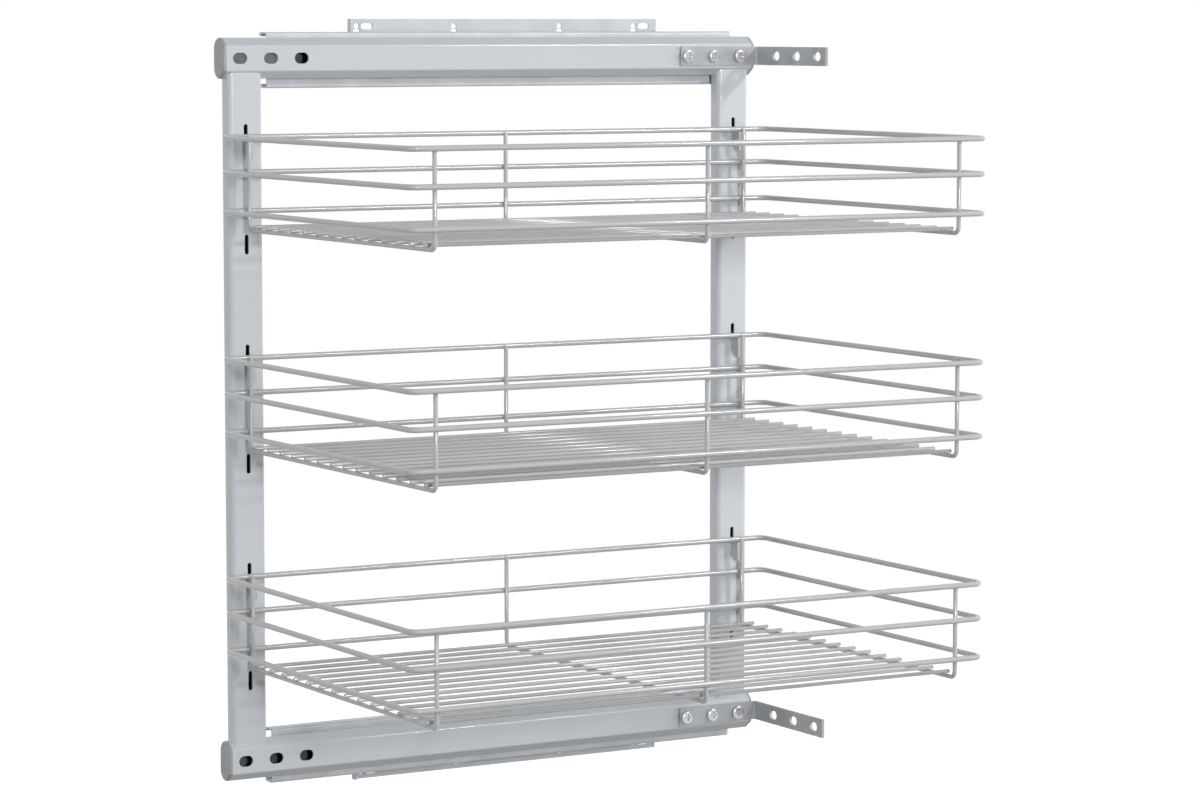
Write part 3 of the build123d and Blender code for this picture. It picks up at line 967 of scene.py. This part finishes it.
@dataclass
class Studio:
    """Floor, lamps, background and camera."""

    camera_mm: Place = (-1438.45, -2635.95, 563.3)
    yaw: float = -29.966
    pitch: float = -5.481
    lens: float = 118.35
    sensor_width: float = 36.0
    sight: float = 100.0
    floor_drop: float = 0.06
    floor_size: float = 14.0
    fade_from: float = 0.4
    fade_to: float = 1.4
    ambient: float = 0.12
    floor_bounce: float = 0.08
    floor_glow: float = 0.86
    floor_tone: float = 0.36
    boxes: tuple[SoftBox, ...] = (
        SoftBox("key", (-0.68, -3.1, 0.45), (0.4, 0.4), 55.0, glints=True),
        SoftBox("top_line", (1.6, -2.3, 1.5), (0.35, 0.3), 36.0, glints=True),
        SoftBox("left_fill", (-3.0, -0.5, 0.4), (0.9, 1.8), 30.0),
        SoftBox("right_fill", (2.2, -1.0, 0.3), (0.8, 1.6), 30.0),
        SoftBox("back_fill", (-0.8, 2.4, 1.1), (2.0, 1.4), 45.0),
    )

    def seen_mask(self, nodes: bpy.types.Nodes, links: bpy.types.NodeLinks) -> bpy.types.NodeSocket:
        """A value that is 1 for camera, glossy and transmission rays.

        Args:
            nodes: The nodes of the floor or the world.
            links: Their links.

        Returns:
            The value.
        """
        path = nodes.new("ShaderNodeLightPath")
        seen = path.outputs["Is Camera Ray"]
        for ray in ("Is Glossy Ray", "Is Transmission Ray"):
            either = nodes.new("ShaderNodeMath")
            either.operation = "MAXIMUM"
            links.new(seen, either.inputs[0])
            links.new(path.outputs[ray], either.inputs[1])
            seen = either.outputs[0]
        return seen

    def fade(self, nodes: bpy.types.Nodes, near: float, far: float) -> bpy.types.Node:
        """A value that changes with the distance from the object.

        Args:
            nodes: The floor's nodes.
            near: The value under the object.
            far: The value further out.

        Returns:
            The node.
        """
        node = nodes.new("ShaderNodeMapRange")
        node.inputs["From Min"].default_value = self.fade_from
        node.inputs["From Max"].default_value = self.fade_to
        node.inputs["To Min"].default_value = near
        node.inputs["To Max"].default_value = far
        return node

    def floor(self) -> None:
        """A plain pale floor that shows white and keeps the object's shadow."""
        low = CAD_BOX[0][2] - self.floor_drop
        bpy.ops.mesh.primitive_plane_add(size=self.floor_size, location=(0.0, 0.0, low))
        plane = bpy.context.object
        plane.name = "studio_floor"
        plane.data.materials.append(self.floor_material())

    def floor_material(self) -> bpy.types.Material:
        """White where it is seen, and dark where it would throw light back at the object.

        Returns:
            The material.
        """
        material = bpy.data.materials.new("floor_white")
        material.use_nodes = True
        nodes, links = material.node_tree.nodes, material.node_tree.links
        nodes.clear()
        output = nodes.new("ShaderNodeOutputMaterial")
        shader = nodes.new("ShaderNodeBsdfDiffuse")
        shine = nodes.new("ShaderNodeEmission")
        shine.inputs["Color"].default_value = WHITE
        both = nodes.new("ShaderNodeAddShader")
        seen = self.seen_mask(nodes, links)
        place = nodes.new("ShaderNodeTexCoord")
        reach = nodes.new("ShaderNodeVectorMath")
        reach.operation = "LENGTH"
        glow = self.fade(nodes, self.floor_glow, 1.0)
        near = self.fade(nodes, self.floor_tone, 0.0)
        strength = nodes.new("ShaderNodeMath")
        strength.operation = "MULTIPLY"
        tone = nodes.new("ShaderNodeMix")
        tone.inputs[MIX_NUMBERS[0]].default_value = self.floor_bounce
        links.new(place.outputs["Object"], reach.inputs[0])
        links.new(reach.outputs["Value"], glow.inputs["Value"])
        links.new(reach.outputs["Value"], near.inputs["Value"])
        links.new(seen, strength.inputs[0])
        links.new(glow.outputs["Result"], strength.inputs[1])
        links.new(seen, tone.inputs[MIX_FACTOR])
        links.new(near.outputs["Result"], tone.inputs[MIX_NUMBERS[1]])
        links.new(tone.outputs[MIX_NUMBER], shader.inputs["Color"])
        links.new(strength.outputs[0], shine.inputs["Strength"])
        links.new(shader.outputs[0], both.inputs[0])
        links.new(shine.outputs[0], both.inputs[1])
        links.new(both.outputs[0], output.inputs["Surface"])
        return material

    def world(self) -> None:
        """Soft light from all round, seen as white."""
        world = bpy.data.worlds.new("studio")
        bpy.context.scene.world = world
        world.use_nodes = True
        nodes, links = world.node_tree.nodes, world.node_tree.links
        nodes.clear()
        output = nodes.new("ShaderNodeOutputWorld")
        soft = nodes.new("ShaderNodeBackground")
        soft.inputs["Color"].default_value = WHITE
        soft.inputs["Strength"].default_value = self.ambient
        white = nodes.new("ShaderNodeBackground")
        white.inputs["Color"].default_value = WHITE
        mix = nodes.new("ShaderNodeMixShader")
        links.new(self.seen_mask(nodes, links), mix.inputs[0])
        links.new(soft.outputs[0], mix.inputs[1])
        links.new(white.outputs[0], mix.inputs[2])
        links.new(mix.outputs[0], output.inputs["Surface"])

    def lamps(self) -> None:
        """A key light nearly in front, a lamp for the line on the top edges, and broad fills."""
        middle = (Vector(CAD_BOX[0]) + Vector(CAD_BOX[1])) / 2
        for box in self.boxes:
            box.hang(middle)

    def camera(self) -> None:
        """Puts the camera at the photograph's viewing angle."""
        data = bpy.data.cameras.new("camera")
        data.sensor_width = self.sensor_width
        data.lens = self.lens
        data.clip_end = self.sight
        camera = bpy.data.objects.new("camera", data)
        bpy.context.scene.collection.objects.link(camera)
        camera.location = Vector(self.camera_mm) * MM
        camera.rotation_euler = (math.radians(90.0 + self.pitch), 0.0, math.radians(self.yaw))
        bpy.context.scene.camera = camera

    def build(self) -> None:
        """Sets up the whole studio."""
        bpy.context.scene.view_settings.view_transform = "Standard"
        self.camera()
        self.floor()
        self.world()
        self.lamps()


def main() -> None:
    """Builds the sub-assemblies in order and dresses them."""
    logging.basicConfig(level=logging.INFO, format="%(name)s: %(message)s")
    bpy.ops.object.select_all(action="DESELECT")
    finishes = Finishes()
    finishes.build()
    Slides().build(finishes)
    PullOutFrame().build(finishes)
    for name, low_rim in BASKET_LEVELS.items():
        Basket(name, low_rim).build(finishes)
    Studio().build()


if __name__ == "__main__":
    main()
